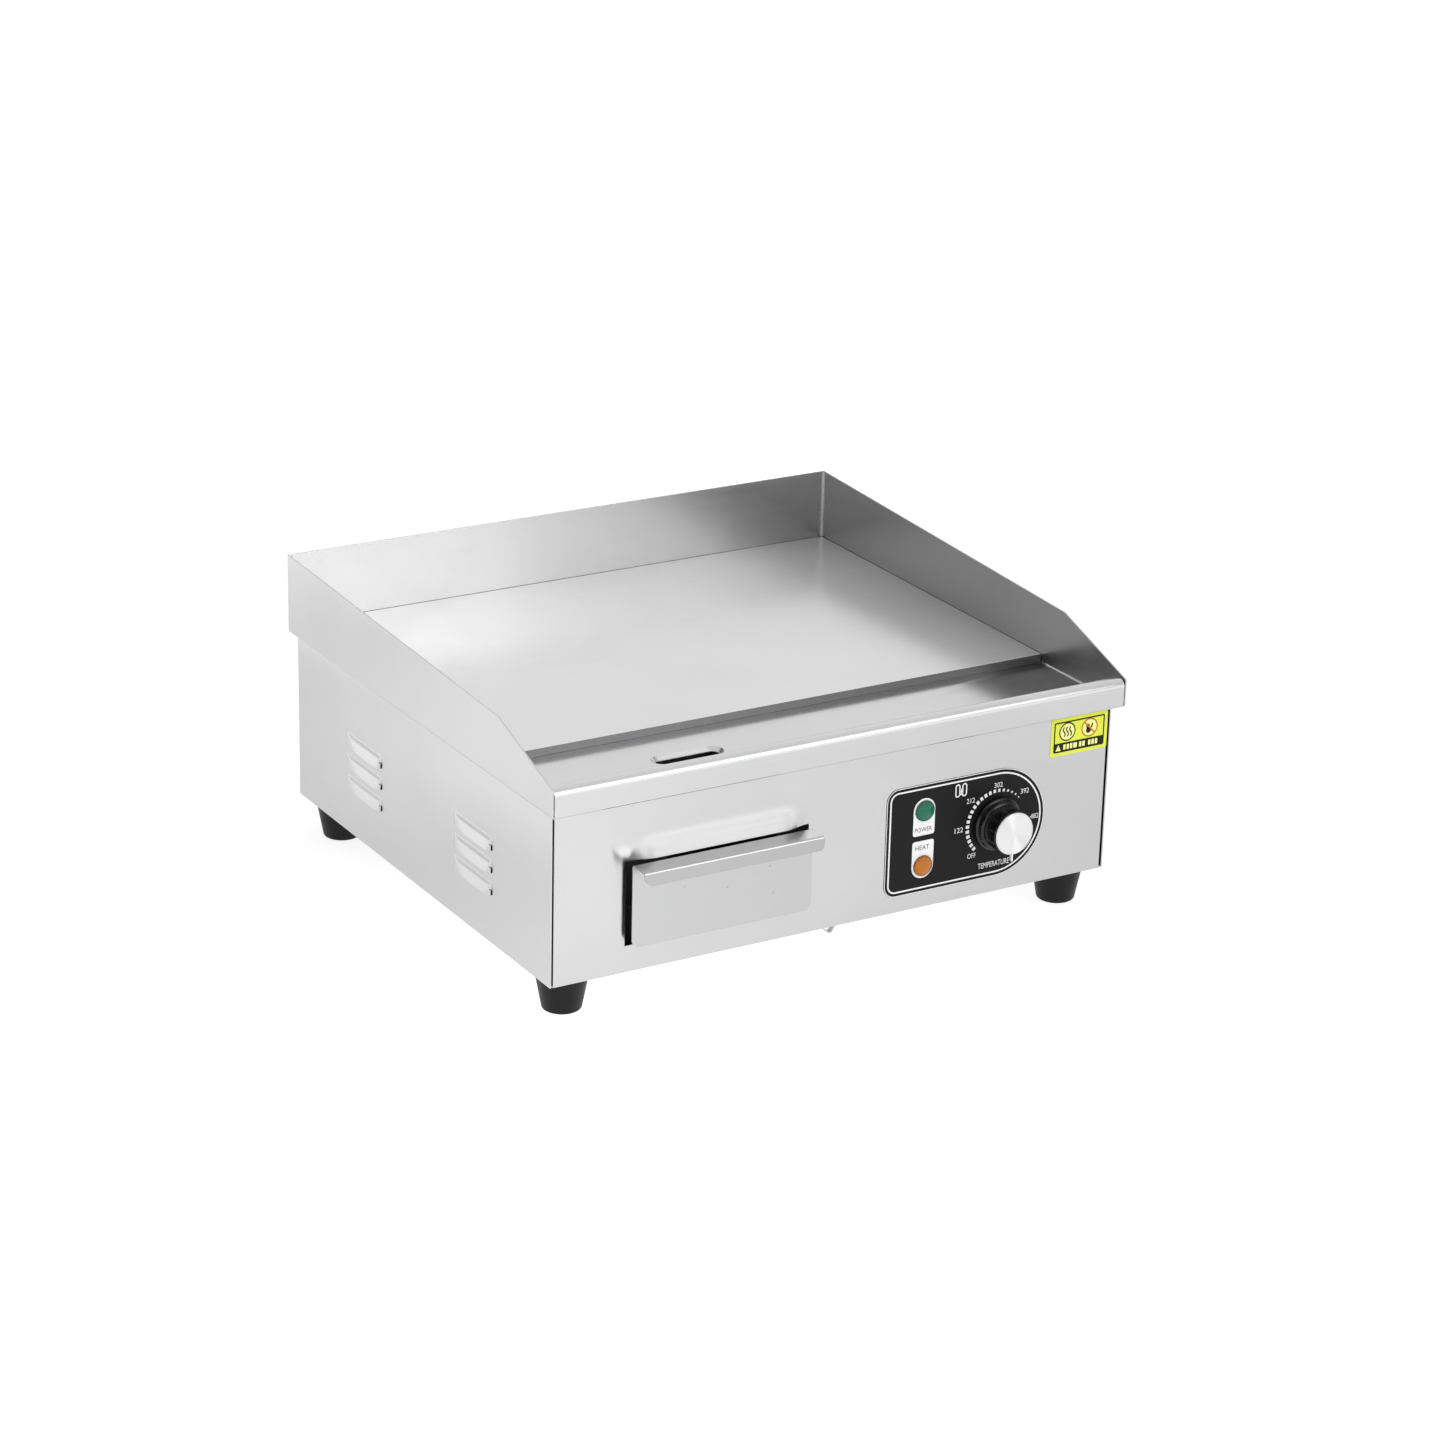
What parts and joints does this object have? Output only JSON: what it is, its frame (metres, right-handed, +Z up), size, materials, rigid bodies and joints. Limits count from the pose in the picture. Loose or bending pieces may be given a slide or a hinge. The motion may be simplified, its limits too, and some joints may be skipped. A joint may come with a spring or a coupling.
{
  "type": "electric griddle",
  "caption": "Countertop electric griddle: flat steel plate with splash guards, drain slot, pull-out grease drawer, rotary thermostat, indicator lamps and rubber feet.",
  "frame": {"origin": "on the surface the feet stand on, at the middle of the overall footprint", "axes": "+X to the right across the front, +Y from the front to the rear, +Z up"},
  "size_m": [0.54, 0.504, 0.2479],
  "materials": {
    "brushed_steel": "brushed stainless sheet",
    "plate_steel": "fine ground cooking plate",
    "weld": "polished weld bead",
    "galvanised": "plain galvanised sheet",
    "element_tube": "oxidised heater tube",
    "zinc": "zinc-plated fastener",
    "wool": "ceramic fibre",
    "ceramic": "glazed steatite",
    "copper": "bare copper",
    "brass": "machined brass",
    "knob_black": "black phenolic",
    "knob_cap": "spun aluminium",
    "pointer_white": "white plastic",
    "label_black": "printed polycarbonate film",
    "label_yellow": "printed vinyl film",
    "lens_green": "translucent green lens",
    "lens_amber": "translucent amber lens",
    "lamp_white": "white nylon",
    "rubber": "moulded black rubber",
    "nylon_black": "black nylon",
    "wire_brown": "silicone insulation",
    "wire_blue": "silicone insulation",
    "wire_white": "glass-braid insulation",
    "wire_grey": "silicone insulation",
    "wire_earth": "silicone insulation"
  },
  "bodies": {
    "housing": {"tray": "brushed_steel", "guard_welds": "weld", "griddle_plate": "plate_steel", "plate_studs": "zinc", "left_side_panel": "brushed_steel", "right_side_panel": "brushed_steel", "front_panel": "brushed_steel", "rear_panel": "brushed_steel", "base_plate": "galvanised", "panel_screws": "zinc", "tray_screws": "zinc", "left_heating_element": "element_tube", "right_heating_element": "element_tube", "element_terminals": "ceramic", "element_clamp_bars": "galvanised", "clamp_nuts": "zinc", "insulation_pad": "wool", "heat_shield": "galvanised", "shield_nuts": "zinc", "thermostat": "ceramic", "thermostat_screws": "zinc", "sensor_bulb": "copper", "sensor_capillary": "copper", "control_label": "label_black", "caution_label": "label_yellow", "green_lamp_lens": "lens_green", "amber_lamp_lens": "lens_amber", "green_lamp_body": "lamp_white", "amber_lamp_body": "lamp_white", "grease_chute": "galvanised", "left_drawer_rail": "galvanised", "right_drawer_rail": "galvanised", "terminal_block": "ceramic", "terminal_screws": "zinc", "live_wire": "wire_brown", "neutral_wire": "wire_blue", "heater_wires": "wire_white", "lamp_wires": "wire_grey", "earth_wire": "wire_earth", "gland_body": "nylon_black", "gland_cap": "nylon_black", "gland_locknut": "nylon_black", "earth_stud": "brass", "earth_nuts": "zinc", "front_left_foot": "rubber", "front_right_foot": "rubber", "rear_left_foot": "rubber", "rear_right_foot": "rubber", "foot_screws": "zinc", "foot_nuts": "zinc", "base_clip": "brushed_steel"},
    "drawer": {"drawer_front": "brushed_steel", "drawer_tray": "brushed_steel"},
    "knob": {"thermostat_shaft": "zinc", "knob": "knob_black", "knob_cap": "knob_cap", "knob_pointer": "pointer_white"}
  },
  "joints": [
    {"name": "drawer_slide", "type": "slide", "parent": "housing", "child": "drawer", "axis": [0, -1, 0], "range_m": [0, 0.2]},
    {"name": "knob_turn", "type": "hinge", "parent": "housing", "child": "knob", "pos_m": [0.153, -0.2345, 0.09125], "axis": [0, 1, 0], "range_deg": [0, 300]}
  ]
}
